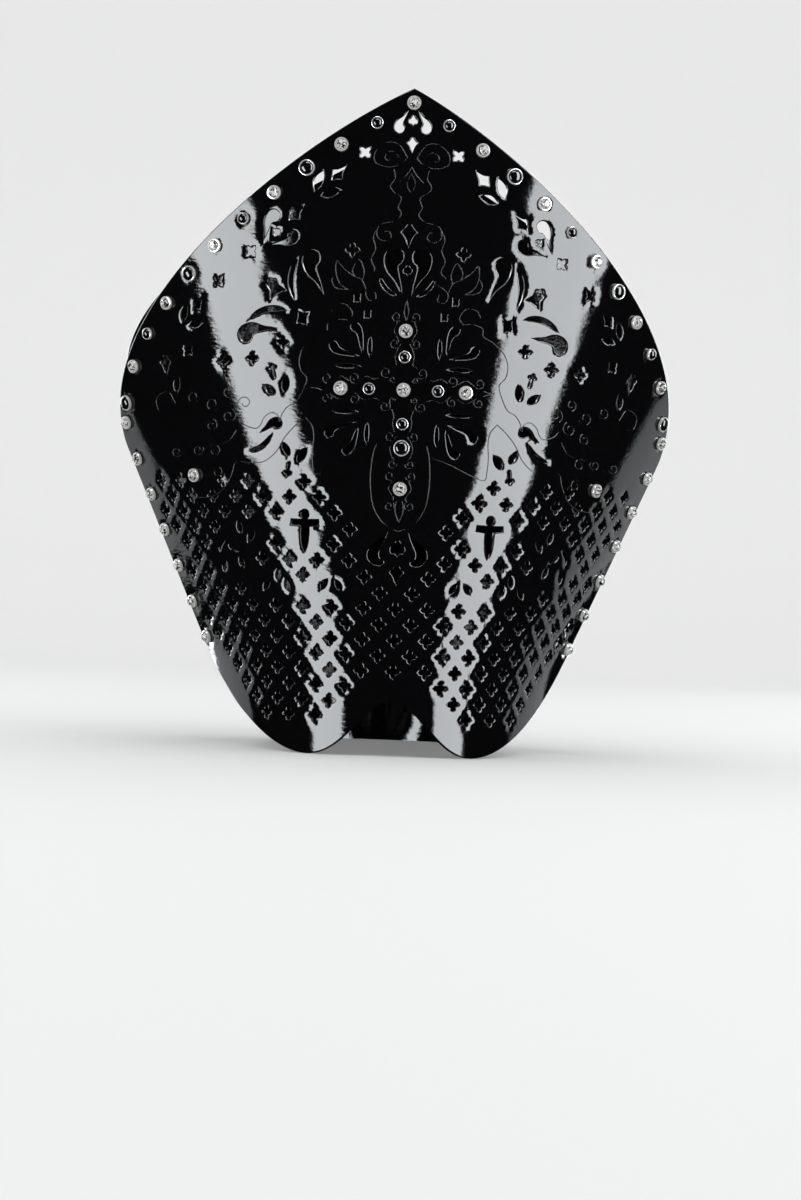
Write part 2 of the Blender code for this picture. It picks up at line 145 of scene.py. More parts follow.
EDGE_STEP = 3 * MM
FOOT_POINTS = 20


def bezier(corners, t):
    weights = ((1 - t) ** 3, 3 * t * (1 - t) ** 2, 3 * t * t * (1 - t), t ** 3)
    total = corners[0] * weights[0]
    for corner, weight in zip(corners[1:], weights[1:]):
        total = total + corner * weight
    return total


def seam_edge(z):
    """Where the front sheet's seam edge lies at this height, carried on below it and upright above it."""
    (top_x, top_z), (low_x, low_z) = SEAM[0], SEAM[-1]
    share = (z / HEIGHT - low_z) / (top_z - low_z)
    past = share - SEAM_LIMIT
    share -= (past + math.hypot(past, SEAM_EASE)) / 2
    return along(HALF_WIDTH * (low_x + (top_x - low_x) * share), z)


def under_front(s, z):
    """The place on the back sheet's outer face under (s, z) of the front sheet."""
    point, over, _, out = frame_at(front_point, s, z)
    return point - out * (SHEET + LAP_GAP), over


BACK_CURVES = {}
BACK_CURVE_STEPS = 48


def back_curve(z):
    """Points from the middle of the back round to the seam edge at this height, and the length to each."""
    key = round(z, 6)
    if key not in BACK_CURVES:
        end, over = under_front(seam_edge(z), z)
        lead = Vector((SIDE_SPREAD * over.x, over.y, 0)).normalized()
        pull = end + lead * (SIDE_PULL * (BACK - end.y))
        middle = Vector((0, BACK, z))
        corners = (middle, middle + Vector((BACK_PULL * end.x, 0, 0)), pull, end)
        points = [bezier(corners, i / BACK_CURVE_STEPS) for i in range(BACK_CURVE_STEPS + 1)]
        steps = [(b - a).length for a, b in zip(points, points[1:])]
        BACK_CURVES[key] = np.array([p[:] for p in points]), np.concatenate([[0], np.cumsum(steps)])
    return BACK_CURVES[key]


def back_point(s, z):
    """s runs from the middle to the right of one who stands behind; past the seam it goes under the front."""
    points, lengths = back_curve(z)
    if abs(s) > lengths[-1]:
        point, _ = under_front(seam_edge(z) - (abs(s) - lengths[-1]), z)
    else:
        point = Vector([float(np.interp(abs(s), lengths, points[:, i])) for i in range(3)])
    point.x = -math.copysign(point.x, s)
    return point


def back_half(z):
    """Flat half width of the back sheet at this height, with its lap."""
    return float(back_curve(z)[1][-1]) + LAP_WIDTH

# %% Outlines of the two sheets
def curve(shares, width, step=EDGE_STEP):
    """Points along one edge curve, without its last point."""
    corners = [Vector((x * width, z * HEIGHT)) for x, z in shares]
    count = max(2, round(sum((b - a).length for a, b in zip(corners, corners[1:])) / step))
    return [bezier(corners, i / count) for i in range(count)]


def both_sides(half):
    """A closed outline from its right half, which starts and ends on the middle line."""
    return half + [(-s, z) for s, z in reversed(half[1:-1])]


def front_outline():
    right = [p for part in (RIM, CORNER, SEAM, LOBE, NOTCH) for p in curve(part, HALF_WIDTH)]
    right.append(Vector((0, NOTCH[-1][1] * HEIGHT)))
    return both_sides([(along(x, z), z) for x, z in right])


def back_outline():
    rim_width = back_half(BACK_RIM[-1][1] * HEIGHT)
    hem_width = back_half(BACK_HEM[0][1] * HEIGHT)
    rim = [(p.x, p.y) for p in curve(BACK_RIM, rim_width)]
    top, low = BACK_RIM[-1][1] * HEIGHT, BACK_HEM[0][1] * HEIGHT
    levels = np.linspace(top, low, round((top - low) / EDGE_STEP) + 1)[:-1]
    seam = [(back_half(z), float(z)) for z in levels]
    hem = [(p.x, p.y) for p in curve(BACK_HEM, hem_width)]
    foot = [(float(s), 0) for s in np.linspace(BACK_HEM[-1][0] * hem_width, 0, FOOT_POINTS)]
    return both_sides(rim + seam + hem + foot)


OUTLINE = front_outline()
BACK_OUTLINE = back_outline()
for sheet, outline in (("front", OUTLINE), ("back", BACK_OUTLINE)):
    print(f"the {sheet} sheet is {2 * max(s for s, _ in outline) / MM:.1f} mm wide when laid flat")

# %% [markdown]
# ## The openings
#
# The pattern is cut right through the real sheet: quatrefoils in staggered rows over the mask, and kites,
# spades, commas, crescents and daggers above. Each shape is a short list of corners in a unit square.
# Cutting its soft corners off twice gives a smooth outline from few numbers, and the corners in TIPS stay
# sharp.

# %% Shapes of the openings
SHAPES = {
    "kite": (
        (0, 0.50), (0.14, 0.26), (0.32, 0.10), (0.14, -0.08), (0, -0.50), (-0.14, -0.08), (-0.32, 0.10),
        (-0.14, 0.26),
    ),
    "petal": ((0, 0.50), (0.20, 0.22), (0.26, -0.12), (0, -0.50), (-0.20, -0.16), (-0.16, 0.20)),
    "leaf": (
        (0, 0.50), (0.22, 0.16), (0.22, -0.18), (0.06, -0.50), (-0.10, -0.50), (-0.24, -0.20),
        (-0.20, 0.16),
    ),
    "spade": (
        (0, 0.55), (0.16, 0.22), (0.44, 0.02), (0.40, -0.34), (0.14, -0.30), (0, -0.50), (-0.14, -0.30),
        (-0.40, -0.34), (-0.44, 0.02), (-0.16, 0.22),
    ),
    "comma": (
        (-0.16, -0.50), (-0.02, -0.20), (0.22, 0.04), (0.26, 0.36), (0.08, 0.52), (-0.14, 0.46),
        (-0.16, 0.24), (-0.02, 0.14), (-0.06, -0.08),
    ),
    "sliver": ((0, 0.50), (0.07, 0.18), (0.09, -0.14), (0, -0.50), (-0.06, -0.14), (-0.05, 0.18)),
    "hook": (
        (-0.04, -0.50), (0.06, -0.18), (0.13, 0.10), (0.14, 0.34), (0.02, 0.50), (-0.14, 0.46),
        (-0.16, 0.32), (-0.03, 0.20), (0, 0),
    ),
    "wing": (
        (-0.32, 0.50), (-0.06, 0.30), (0.22, 0.02), (0.28, -0.26), (0.12, -0.46), (-0.14, -0.50),
        (-0.26, -0.40), (-0.06, -0.30), (-0.04, -0.10), (-0.16, 0.14),
    ),
    "crescent": (
        (-0.08, -0.50), (0.08, -0.28), (0.14, 0.02), (0.08, 0.32), (-0.06, 0.50), (-0.02, 0.26), (0.01, 0),
        (-0.02, -0.26),
    ),
    "bell": (
        (0, 0.50), (-0.16, 0.30), (-0.30, 0.28), (-0.24, -0.06), (-0.46, -0.44), (0, -0.34), (0.46, -0.44),
        (0.24, -0.06), (0.30, 0.28), (0.16, 0.30),
    ),
    "dagger": (
        (0, 0.50), (-0.08, 0.46), (-0.10, 0.34), (-0.04, 0.26), (-0.34, 0.26), (-0.36, 0.14), (-0.11, 0.12),
        (-0.09, -0.30), (0, -0.50), (0.09, -0.30), (0.11, 0.12), (0.36, 0.14), (0.34, 0.26), (0.04, 0.26),
        (0.10, 0.34), (0.08, 0.46),
    ),
    "square": (
        (-0.40, 0.46), (0, 0.34), (0.40, 0.46), (0.30, 0), (0.40, -0.46), (0, -0.34), (-0.40, -0.46),
        (-0.30, 0),
    ),
    "sprig": (
        (0, 0.50), (-0.07, 0.44), (-0.06, -0.10), (-0.22, -0.08), (-0.30, -0.24), (-0.12, -0.30),
        (0, -0.48), (0.12, -0.30), (0.30, -0.24), (0.22, -0.08), (0.06, -0.10), (0.07, 0.44),
    ),
}
TIPS = {
    "kite": (0, 2, 4, 6), "petal": (0, 3), "leaf": (0,), "spade": (0, 5), "comma": (0,), "hook": (0,),
    "sliver": (0, 3), "wing": (0,), "crescent": (0, 4), "bell": (3, 4, 6, 7),
    "dagger": (3, 4, 5, 6, 8, 10, 11, 12, 13), "square": (0, 2, 4, 6), "sprig": (2, 6, 10),
}
ROUND_POINTS = 16
FOIL_RADIUS = 3.7 * MM
FOIL_POINTS = 20
FOIL_WAIST = 0.48
FOIL_POINT = 2.2


def rounded(corners, tips):
    """The outline with each soft corner cut off twice."""
    points = [(Vector(p), i in tips) for i, p in enumerate(corners)]
    for _ in range(2):
        cut = []
        for (p, tip), (q, next_tip) in zip(points, points[1:] + points[:1]):
            cut.append((p if tip else p.lerp(q, 0.25), tip))
            if not next_tip:
                cut.append((p.lerp(q, 0.75), False))
        points = cut
    return [p for p, _ in points]


def foil_shape():
    """A quatrefoil of unit radius: four pointed lobes with narrow waists between them."""
    turns = [2 * math.pi * i / FOIL_POINTS for i in range(FOIL_POINTS)]
    radii = [FOIL_WAIST + (1 - FOIL_WAIST) * abs(math.cos(2 * t)) ** FOIL_POINT for t in turns]
    return [Vector((r * math.cos(t), r * math.sin(t))) for r, t in zip(radii, turns)]


OUTLINES = {name: rounded(corners, TIPS[name]) for name, corners in SHAPES.items()}
OUTLINES["foil"] = foil_shape()
round_turns = np.linspace(0, 2 * math.pi, ROUND_POINTS + 1)[:-1]
OUTLINES["round"] = [Vector((math.cos(t), math.sin(t))) for t in round_turns]
print(f"{len(OUTLINES)} shapes of opening; a quatrefoil is {2 * FOIL_RADIUS / MM:.1f} mm across")

# %% [markdown]
# An opening is laid out flat, in true size, about its centre, and only then moved to its place on the
# sheet. That keeps its shape and the width of its soft edge where the sheet narrows towards its foot.

# %% Laying out an opening
MITER_LIMIT = 1.4


def anticlockwise(loop):
    area = sum(a[0] * b[1] - b[0] * a[1] for a, b in zip(loop, loop[1:] + loop[:1]))
    return loop if area > 0 else loop[::-1]


def offset(loop, distance):
    """The loop moved this far to its left, with the miter at a sharp corner held back."""
    moved = []
    for before, here, after in zip(loop[-1:] + loop[:-1], loop, loop[1:] + loop[:1]):
        before, here, after = Vector(before), Vector(here), Vector(after)
        into, on = (here - before).normalized(), (after - here).normalized()
        left = Vector((-into.y - on.y, into.x + on.x)).normalized()
        stretch = min(MITER_LIMIT, 1 / max(0.3, left.dot(Vector((-on.y, on.x)))))
        moved.append(here + left * (distance * stretch))
    return moved


def opening(shape, s, z, turn, size, side=1):
    """An opening as the flat place of its centre and its true outline about it, clockwise."""
    turn = math.radians(turn)
    loop = []
    for p in OUTLINES[shape]:
        across = p.x * math.cos(turn) - p.y * math.sin(turn)
        loop.append(Vector((side * across, p.x * math.sin(turn) + p.y * math.cos(turn))) * size)
    return (side * s, z), anticlockwise(loop)[::-1]


def laid_out(opening, grow=0.0):
    """The flat loop of an opening, wider by this much all round."""
    (s, z), loop = opening
    return [shift(front_point, s, z, p.x, p.y) for p in offset(loop, grow)]

# %% Where the openings are
# Shape, distance from the middle line, height, turn in degrees, and size. The lengths are in millimetres.
ORNAMENTS = (
    ("spade", 0, 338.5, 0, 5.2), ("comma", -5.9, 338, 168, 13), ("kite", 0, 325.5, 0, 8.5),
    ("foil", 25, 320.7, 45, 3.7), ("kite", 38.5, 309.5, 225, 11), ("petal", 49, 305, 22, 12),
    ("petal", 42.4, 298.6, 74, 11), ("kite", 60.4, 288, 225, 11.5), ("comma", 75, 281.5, 35, 18),
    ("comma", -66, 273, -58, 16.5), ("spade", 70.8, 277.8, -45, 5), ("kite", 0, 277.5, 0, 13),
    ("foil", 29.8, 268.5, 0, 3.7), ("foil", 84, 267.6, 45, 3.7), ("foil", 101, 252, 45, 3.7),
    ("spade", 0, 258.8, 0, 5), ("comma", 6.4, 257.5, 0, 25), ("crescent", 10.6, 249, -44, 13),
    ("comma", 49.5, 256, -8, 24), ("crescent", 60.5, 252.5, 4, 23), ("bell", 71, 248.6, -30, 11.5),
    ("kite", 111.6, 240, 225, 9.5), ("petal", 118.8, 235, 20, 9.5), ("petal", 112.6, 228.8, 80, 9),
    ("crescent", 74, 235, 78, 23), ("comma", -79, 225.5, 114, 23), ("square", 55, 232, 8, 7),
    ("square", 26.4, 243, 0, 4), ("square", 20.6, 234.6, 0, 4), ("hook", 32.5, 214.8, -70, 17),
    ("hook", -24.6, 222, 18, 17), ("sliver", 18.6, 217.6, 0, 11), ("sliver", 30, 207, 90, 14),
    ("foil", 65, 219.0, 0, 3.7), ("foil", 81, 210.5, 0, 3.7), ("foil", 97, 209, 0, 3.7),
    ("foil", 116, 215, 45, 3.4), ("kite", 128.4, 208, 0, 11), ("petal", 121.6, 197, 15, 9),
    ("leaf", 62.7, 197.0, 12, 9), ("leaf", 71.4, 194, -55, 8.5), ("sprig", 69.4, 204, 165, 8.5),
    ("hook", -33.2, 174.2, 114, 18), ("hook", 26.2, 167.4, -156, 17), ("sliver", 18.6, 171.6, 0, 12),
    ("sliver", -30.6, 182.8, 90, 14), ("comma", 70, 174.5, 78, 14), ("crescent", 74.5, 164.5, 238, 17),
    ("leaf", 52.4, 159.4, 38, 9), ("leaf", 61.4, 162.4, -30, 8), ("sprig", 59.6, 151.2, 10, 8.5),
    ("dagger", 49.6, 118.8, 0, 23), ("petal", 30.6, 90.6, -35, 7), ("petal", 38.2, 90.6, 35, 7),
    ("petal", 57.6, 89.6, -20, 7), ("petal", 62.6, 95.2, 10, 7), ("petal", 68.6, 89.2, 40, 7),
    ("petal", 84.4, 120.2, -10, 7.5), ("petal", 78.0, 115.2, 40, 7.5), ("crescent", 94, 109.8, 40, 8),
    ("crescent", 87.6, 108.2, -60, 8), ("petal", 91.8, 98.6, 20, 7), ("petal", 82.6, 101.2, -20, 7),
    ("spade", 0, 111.2, 0, 8.6), ("wing", 11.3, 110.4, 0, 17.5), ("kite", 0, 97, 0, 11),
)
LATTICE_PITCH = 17.4 * MM
LATTICE_ROW = 8.3 * MM
LATTICE_BASE = 20.6 * MM
LATTICE_ROWS = 20
LATTICE_COLUMNS = 14
LATTICE_MARGIN = 10.5 * MM
LATTICE_CLEARANCE = 7.2 * MM
PLAIN_LEVELS = (80 * MM, 92 * MM, 124 * MM, 148 * MM, 152 * MM)
PLAIN_HALVES = (0, 14 * MM, 24 * MM, 52 * MM, 400 * MM)


def contains(outline, s, z):
    inside = False
    for (s1, z1), (s2, z2) in zip(outline, outline[1:] + outline[:1]):
        if (z1 > z) != (z2 > z) and s < s1 + (z - z1) / (z2 - z1) * (s2 - s1):
            inside = not inside
    return inside


def in_plain_field(s, z):
    """The smooth ground round the cross and the scrolls under it, which the lattice stays out of."""
    half = np.interp(z, PLAIN_LEVELS, PLAIN_HALVES)
    return abs(s) < half and z > PLAIN_LEVELS[0] or z > PLAIN_LEVELS[-1]


def lattice(outline, taken):
    """Quatrefoils in staggered rows over the mask and up both flanks."""
    edge = np.array(outline)
    others = np.array([p for loop in taken for p in loop])
    places = []
    for row in range(LATTICE_ROWS):
        z = LATTICE_BASE + row * LATTICE_ROW
        for column in range(-LATTICE_COLUMNS, LATTICE_COLUMNS + 1):
            s = (column + (row % 2 == 0) * 0.5) * LATTICE_PITCH
            if in_plain_field(s, z) or not contains(outline, s, z):
                continue
            clear = np.hypot(edge[:, 0] - s, edge[:, 1] - z).min() > LATTICE_MARGIN
            free = np.hypot(others[:, 0] - s, others[:, 1] - z).min() > LATTICE_CLEARANCE
            if clear and free:
                places.append((s, z))
    return places


print(f"{len(ORNAMENTS)} ornaments, all but those on the middle line made on both sides")

# %% [markdown]
# ## Cut, soften, bend
#
# A sheet starts as a flat fill between its outline and its openings, which Blender's triangle fill makes
# at once. The cut edges are then extruded round a small quarter circle and down through the thickness, so
# each opening has the soft, bright edge of polished sheet. Straight cuts across the flat sheet give the
# bend enough points to follow. Only then is everything bent, and the flat sheet's own normals are bent
# with it: on a mirror finish this keeps the reflections free of facets, which shading from the triangles
# alone would not.

# %% Sheet maker
SOFT_EDGE = 0.8 * MM
EDGE_RINGS = ((1.0, 0.0), (0.50, 0.13), (0.13, 0.50), (0.0, 1.0))
PIERCED_STEP = 3 * MM
PLAIN_STEP = 6 * MM
TINY = 1e-7
MERGE = 1e-6


def flat_fill(bm, loops, depth):
    """The flat face between an outline and its openings, at this depth below the outer face."""
    edges = []
    for loop in loops:
        verts = [bm.verts.new((s, depth, z)) for s, z in loop]
        edges += [bm.edges.new(pair) for pair in zip(verts, verts[1:] + verts[:1])]
    bmesh.ops.triangle_fill(bm, use_beauty=True, use_dissolve=False, edges=edges)
    return edges


def cut_across(bm, depth, step):
    """Cuts the flat face at this depth into squares about a step wide."""
    faces = [f for f in bm.faces if max(abs(v.co.y - depth) for v in f.verts) < TINY]
    pieces = list({part for f in faces for part in (*f.verts, *f.edges)}) + faces
    places = [v.co for f in faces for v in f.verts]
    for axis in (0, 2):
        normal = [float(i == axis) for i in range(3)]
        low, high = (end(place[axis] for place in places) for end in (min, max))
        for cut in np.arange(low + step / 2, high, step):
            pieces = bmesh.ops.bisect_plane(
                bm, geom=pieces, dist=TINY, plane_co=Vector(normal) * float(cut), plane_no=normal
            )["geom"]


def flat_sheet(outline, openings):
    """A flat sheet with softened edges. Its outer face looks along -Y."""
    outline = anticlockwise(outline)
    grown = [[offset(outline, SOFT_EDGE * share) for share, _ in EDGE_RINGS]]
    grown += [[laid_out(found, SOFT_EDGE * share) for share, _ in EDGE_RINGS] for found in openings]
    bm = bmesh.new()
    edges = flat_fill(bm, [rings[0] for rings in grown], 0)
    depths = [SOFT_EDGE * deep for _, deep in EDGE_RINGS] + [SHEET]
    key = {}
    for rings in grown:
        rings = rings + rings[-1:]
        for track in zip(*rings):
            places = [Vector((p[0], depth, p[1])) for p, depth in zip(track, depths)]
            for here, below in zip(places, places[1:]):
                key[tuple(round(c, 7) for c in here)] = below
    for _ in EDGE_RINGS:
        made = bmesh.ops.extrude_edge_only(bm, edges=edges)["geom"]
        edges = [e for e in made if isinstance(e, bmesh.types.BMEdge)]
        for vert in {v for e in edges for v in e.verts}:
            vert.co = key[tuple(round(c, 7) for c in vert.co)]
    flat_fill(bm, [rings[-1] for rings in grown], SHEET)
    bmesh.ops.remove_doubles(bm, verts=bm.verts, dist=MERGE)
    for depth, step in ((0, PIERCED_STEP if openings else PLAIN_STEP), (SHEET, PLAIN_STEP)):
        cut_across(bm, depth, step)
    bmesh.ops.triangulate(bm, faces=[f for f in bm.faces if len(f.verts) > 4])
    bmesh.ops.recalc_face_normals(bm, faces=bm.faces)
    return bm

# %% [markdown]
# The real sheet sinks a little towards each opening, so near one the gloss bends. The normals of the
# outer face therefore lean towards the nearest opening or stud, which costs no more faces. They are
# worked out on the flat sheet, where that is easy, and then turned with it as it is bent.

# %% Normals and bending
LEAN = math.radians(9)
LEAN_REACH = 1.5 * MM
TREE_STEP = 0.5 * MM


def is_flat(face):
    return abs(face.normal.y) > 0.9999


def near_openings(loops):
    """A search tree of places along these flat loops, about a step apart."""
    places = []
    for loop in loops:
        for (s1, z1), (s2, z2) in zip(loop, loop[1:] + loop[:1]):
            count = max(1, round(math.hypot(s2 - s1, z2 - z1) / TREE_STEP))
            places += [(s1 + (s2 - s1) * i / count, 0, z1 + (z2 - z1) * i / count) for i in range(count)]
    tree = KDTree(len(places))
    for i, place in enumerate(places):
        tree.insert(place, i)
    tree.balance()
    return tree


def leaning(place, tree):
    """The outer face's normal here: it leans towards the nearest opening, more so the nearer that is."""
    found, _, distance = tree.find(place)
    lean = LEAN * math.exp(-max(0, distance - SOFT_EDGE) / LEAN_REACH)
    towards = (found - place).normalized() if distance > 1e-6 else Vector()
    return (Vector((0, -1, 0)) + towards * math.tan(lean)).normalized()


def flat_normals(bm, tree):
    """The normal at each face corner: almost flat on the two faces, rounded over the softened edges."""
    corner_normals = []
    rounded_at = {}
    for vert in bm.verts:
        faces = [f for f in vert.link_faces if not is_flat(f)]
        outer = any(is_flat(f) and f.normal.y < 0 for f in vert.link_faces)
        if outer and tree:
            rounded_at[vert] = leaning(vert.co, tree)
        elif outer or not faces:
            rounded_at[vert] = Vector((0, -1, 0))
        else:
            rounded_at[vert] = sum((f.normal * f.calc_area() for f in faces), Vector()).normalized()
    for face in bm.faces:
        for vert in face.verts:
            inner = is_flat(face) and face.normal.y > 0
            corner_normals.append(Vector((0, 1, 0)) if inner else rounded_at[vert])
    return corner_normals


def bend(bm, surface, tree=None):
    """Bends the flat sheet onto a surface, with its normals. Returns the mesh."""
    bm.verts.index_update()
    bm.faces.index_update()
    flat = flat_normals(bm, tree)
    frames = [frame_at(surface, v.co.x, v.co.z) for v in bm.verts]
    bent = []
    corners = (vert.index for face in bm.faces for vert in face.verts)
    for index, normal in zip(corners, flat):
        _, over, steep, out = frames[index]
        bent.append((over * normal.x + steep * normal.z - out * normal.y).normalized())
    for vert, (point, _, _, out) in zip(bm.verts, frames):
        vert.co = point - out * vert.co.y
    mesh = bpy.data.meshes.new("sheet")
    bm.to_mesh(mesh)
    bm.free()
    mesh.shade_smooth()
    mesh.normals_split_custom_set(bent)
    return mesh


def add_piece(name, mesh, finish, slot, *nodes):
    """A finished piece, in the place of these nodes."""
    piece = bpy.data.objects.new(name, mesh)
    mesh.name = name
    mesh.materials.append(finish)
    bpy.context.scene.collection.objects.link(piece)
    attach(piece, "root")
    if nodes:
        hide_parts(*nodes)
    triangles = sum(len(p.vertices) - 2 for p in mesh.polygons)
    print(f"{name}: {triangles} triangles")


print(f"soft edges {SOFT_EDGE / MM:.1f} mm round on sheet {SHEET / MM:.1f} mm thick")

# %% [markdown]
# ## Stud places
#
# The studs follow the rim and the seam at an even pitch, and more make the cross and mark the two flanks.
# They are placed along the same edge curves as the sheet, so that they can't drift off it. In the lists C
# is a crystal, b a small cabochon and B a large one.

# %% Stud places
CRYSTAL_RADIUS = 3.75 * MM
SMALL_CABOCHON_RADIUS = 3.2 * MM
LARGE_CABOCHON_RADIUS = 4.3 * MM
SEAT_GAP = 0.3 * MM
SEAT_DIMPLE = 3.2 * MM
SETTING_HEIGHT = 1.5 * MM
SETTING_TOP = SEAT_GAP + SETTING_HEIGHT
STONE_RISE = 1.7 * MM
APEX_INSET = 7.9 * MM
RIM_INSET = 7.5 * MM
RIM_FOOT = 18.7 * MM
RIM_STUDS = "bCBCbCBCbCB"
SEAM_INSET = 6.8 * MM
SEAM_START = 8.7 * MM
SEAM_FOOT = 0.7 * MM
SEAM_STUDS = 7
CROSS_STUDS = (
    ("C", 0, 0.549), ("C", 0, 0.637), ("C", 0, 0.401), ("C", 0.215, 0.549), ("C", 0.712, 0.416),
    ("b", 0, 0.598), ("b", 0.118, 0.549), ("b", 0, 0.498), ("B", 0, 0.462),
)


def edge_line(shares, inset):
    """The line on the front sheet that runs beside these edge curves at this distance inside them."""
    flat = [Vector((along(x, z), z)) for part in shares for x, z in curve(part, HALF_WIDTH, 2 * MM)]
    line = []
    for before, here, after in zip(flat, flat[1:], flat[2:]):
        run = (after - before).normalized()
        line.append(here + Vector((run.y, -run.x)) * inset)
    return line


def share_out(line, first, last, count):
    """Places shared evenly along a line, with these lengths left free at its start and its end."""
    lengths = np.concatenate([[0], np.cumsum([(b - a).length for a, b in zip(line, line[1:])])])
    wanted = np.linspace(first, lengths[-1] - last, count)
    return [tuple(float(np.interp(w, lengths, [p[i] for p in line])) for i in (0, 1)) for w in wanted]


def stud_places():
    """(kind, s, z) of every stud that sits on the front sheet."""
    line = edge_line((RIM, CORNER), RIM_INSET)
    line = [Vector((0, HEIGHT - APEX_INSET))] + [p for p in line if p.x > RIM_INSET]
    rim = share_out(line, 0, RIM_FOOT, len(RIM_STUDS) + 1)
    right = [(kind, s, z) for kind, (s, z) in zip("C" + RIM_STUDS, rim)]
    right += [(kind, along(x * HALF_WIDTH, z * HEIGHT), z * HEIGHT) for kind, x, z in CROSS_STUDS]
    return right + [(kind, -s, z) for kind, s, z in right if s]


def rivet_places():
    line = [p for p in edge_line((CORNER, SEAM, LOBE), SEAM_INSET) if p.y > SEAM[-1][1] * HEIGHT]
    right = share_out(line, SEAM_START, SEAM_FOOT, SEAM_STUDS)
    return right + [(-s, z) for s, z in right]


STUDS = stud_places()
RIVETS = rivet_places()
print(f"{len(STUDS)} studs and {len(RIVETS)} rivets")

# %% [markdown]
# ## Finishes
#
# The sheet is black all through with a clear, wet-looking gloss. A very fine ripple in its coat feathers
# the edges of the reflections, as on the real sheet. The crystals' sparkle is painted into their colour: a
# cell pattern of bright and dark patches gives painted glints and painted dark facets, because at this
# size light bent by real facets would only look grey. Metal and cabochons are plain.

# %% Materials
def node_material(name):
    made = bpy.data.materials.new(name)
    made.use_nodes = True
    return made, made.node_tree.nodes["Principled BSDF"]


def set_values(shader, **values):
    for name, value in values.items():
        shader.inputs[name.replace("_", " ")].default_value = value


def black_sheet():
    made, shader = node_material("mirror_black_sheet")
    nodes, links = made.node_tree.nodes, made.node_tree.links
    set_values(shader, Base_Color=(0.0025, 0.0025, 0.003, 1), Roughness=0.045, IOR=1.5)
    place = nodes.new("ShaderNodeTexCoord")
    stretch = nodes.new("ShaderNodeMapping")
    stretch.inputs["Scale"].default_value = (0.55, 0.55, 1.5)
    ripple = nodes.new("ShaderNodeTexNoise")
    ripple.inputs["Scale"].default_value = 420
    ripple.inputs["Detail"].default_value = 5
    bump = nodes.new("ShaderNodeBump")
    bump.inputs["Strength"].default_value = 0.5
    bump.inputs["Distance"].default_value = 0.00012
    links.new(place.outputs["Object"], stretch.inputs["Vector"])
    links.new(stretch.outputs["Vector"], ripple.inputs["Vector"])
    links.new(ripple.outputs["Fac"], bump.inputs["Height"])
    links.new(bump.outputs["Normal"], shader.inputs["Normal"])
    return made


def silver():
    made, shader = node_material("bright_silver")
    set_values(shader, Base_Color=(0.88, 0.87, 0.85, 1), Metallic=0.4, Roughness=0.18)
    return made


def crystal():
    """Clear stone with painted sparkle: painted glints and painted dark facets in its colour stand in for the
    light its back facets send out in some places and swallow in others.
    """
    made, shader = node_material("clear_crystal")
    nodes, links = made.node_tree.nodes, made.node_tree.links
    set_values(shader, Roughness=0.02, IOR=1.62, Transmission_Weight=0.25)
    place = nodes.new("ShaderNodeTexCoord")
    # The base colour is painted in cells: near-black cells are painted dark facets, grey and white cells are
    # painted glints.
    painted_sparkle_cells = nodes.new("ShaderNodeTexVoronoi")
    painted_sparkle_cells.inputs["Scale"].default_value = 1300
    painted_sparkle_ramp = nodes.new("ShaderNodeValToRGB")
    painted_sparkle_ramp.color_ramp.interpolation = "CONSTANT"
    painted_sparkle_ramp.color_ramp.elements[0].color = (0.015, 0.015, 0.015, 1)
    painted_sparkle_ramp.color_ramp.elements[1].position = 0.40
    painted_sparkle_ramp.color_ramp.elements[1].color = (0.45, 0.45, 0.44, 1)
    bright = painted_sparkle_ramp.color_ramp.elements.new(0.50)
    bright.color = (0.97, 0.97, 0.95, 1)
    links.new(place.outputs["Object"], painted_sparkle_cells.inputs["Vector"])
    links.new(painted_sparkle_cells.outputs["Color"], painted_sparkle_ramp.inputs["Fac"])
    links.new(painted_sparkle_ramp.outputs["Color"], shader.inputs["Base Color"])
    return made


def cabochon():
    made, shader = node_material("black_cabochon")
    set_values(shader, Base_Color=(0.003, 0.003, 0.004, 1), Roughness=0.03, IOR=1.6)
    return made


SHEET_FINISH = black_sheet()
SILVER = silver()
CRYSTAL = crystal()
CABOCHON = cabochon()
print("finishes:", ", ".join(m.name for m in (SHEET_FINISH, SILVER, CRYSTAL, CABOCHON)))

# %% [markdown]
# ## The two sheets
#
# The front has a round hole for each rivet, the ornaments, and quatrefoils wherever the staggered rows
# keep clear of all of those. It is one sheet, so it is one piece.

# %% Front panel
RIVET_HOLE = 2 * MM
rivet_holes = [opening("round", s, z, 0, RIVET_HOLE) for s, z in RIVETS]
ornaments = [
    opening(shape, along(x * MM, z * MM), z * MM, turn, size * MM, side)
    for shape, x, z, turn, size in ORNAMENTS
    for side in ((1, -1) if x else (1,))
]
taken = [laid_out(found) for found in ornaments + rivet_holes] + [[(s, z)] for _, s, z in STUDS]
foils = [opening("foil", s, z, 0, FOIL_RADIUS) for s, z in lattice(OUTLINE, taken)]
seats = [opening("round", s, z, 0, SEAT_DIMPLE) for s, z in RIVETS + [(s, z) for _, s, z in STUDS]]
edges_and_seats = near_openings([laid_out(found) for found in ornaments + foils + seats])
front_mesh = bend(flat_sheet(OUTLINE, rivet_holes + ornaments + foils), front_point, edges_and_seats)
add_piece("pierced_front", front_mesh, SHEET_FINISH, "sheet", "front_panel")
print(f"{len(ornaments) + len(foils)} openings in the front, {len(foils)} of them quatrefoils in rows")

# %% [markdown]
# ## Engraving
#
# Fine lines are scored into the gloss between the openings: a lobed frame round the cross, two frames
# round the side scrolls, small flowers down the middle and a curl beside every stud of the cross. A
# scored line shows as the bright and dark pair along its lips, which a half-sunk bead gives with far
# fewer faces than a groove, so each line is a curve through a few places, or a spiral, with a thin round
# section.

# %% Engraved lines
LINE_RADIUS = 0.30 * MM
LINE_SINK = 0.06 * MM
LINE_STEP = 0.9 * MM
